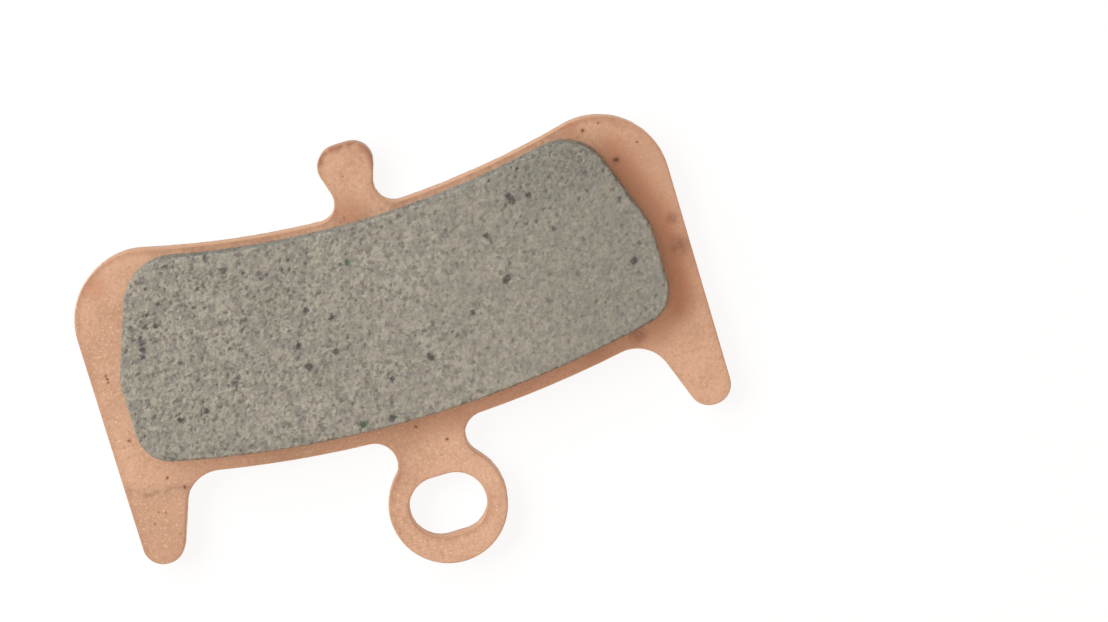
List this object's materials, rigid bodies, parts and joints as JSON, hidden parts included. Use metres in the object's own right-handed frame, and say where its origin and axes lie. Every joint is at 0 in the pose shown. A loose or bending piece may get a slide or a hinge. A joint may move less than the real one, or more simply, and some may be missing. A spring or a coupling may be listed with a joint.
{
  "type": "bicycle disc brake pad",
  "caption": "Flat disc brake pad: a copper-plated steel backing plate with an eyelet, finger tab and legs, carrying a curved block of grey sintered friction compound.",
  "frame": {"origin": "middle of the pad's outline, on the back face of the backing plate, which lies on the ground", "axes": "+X along the pad's length, +Y towards the finger tab and the rotor's axis, +Z out of the friction face"},
  "size_m": [0.046, 0.0328, 0.004],
  "materials": {
    "copper_plated_steel": "matte",
    "sintered_compound": "matte"
  },
  "bodies": {
    "root": {"backing_plate": "copper_plated_steel", "friction_pad": "sintered_compound"}
  },
  "joints": []
}
